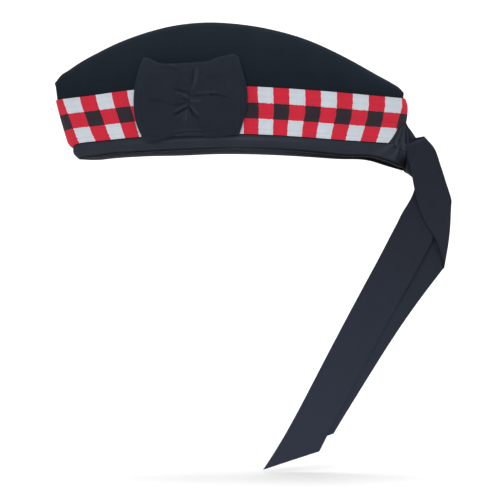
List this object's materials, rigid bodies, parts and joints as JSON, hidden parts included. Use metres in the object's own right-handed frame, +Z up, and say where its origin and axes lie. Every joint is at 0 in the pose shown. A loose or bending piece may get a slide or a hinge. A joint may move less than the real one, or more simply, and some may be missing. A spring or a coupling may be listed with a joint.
{
  "type": "glengarry",
  "caption": "Glengarry: folded black felt cap with a red, white and black diced band, a ribbon cockade on the left side and two ribbon tails at the back.",
  "frame": {"origin": "middle of the opening in the rim, where the head goes in", "axes": "+Z up to the crown, -X towards the front of the cap, +X towards the slit and tails, -Y towards the cockade side"},
  "size_m": [0.333, 0.1033, 0.3732],
  "materials": {
    "black_felt": "matte",
    "black_ribbon": "satin",
    "diced_weave": "matte"
  },
  "bodies": {
    "root": {"crown_left": "black_felt", "crown_right": "black_felt", "crown_top": "black_felt", "diced_band": "diced_weave", "rim_binding": "black_ribbon", "slit_binding_left": "black_ribbon", "slit_binding_right": "black_ribbon", "cockade_bow": "black_ribbon", "back_knot": "black_ribbon", "tail_far": "black_ribbon", "tail_near": "black_ribbon"}
  },
  "joints": []
}
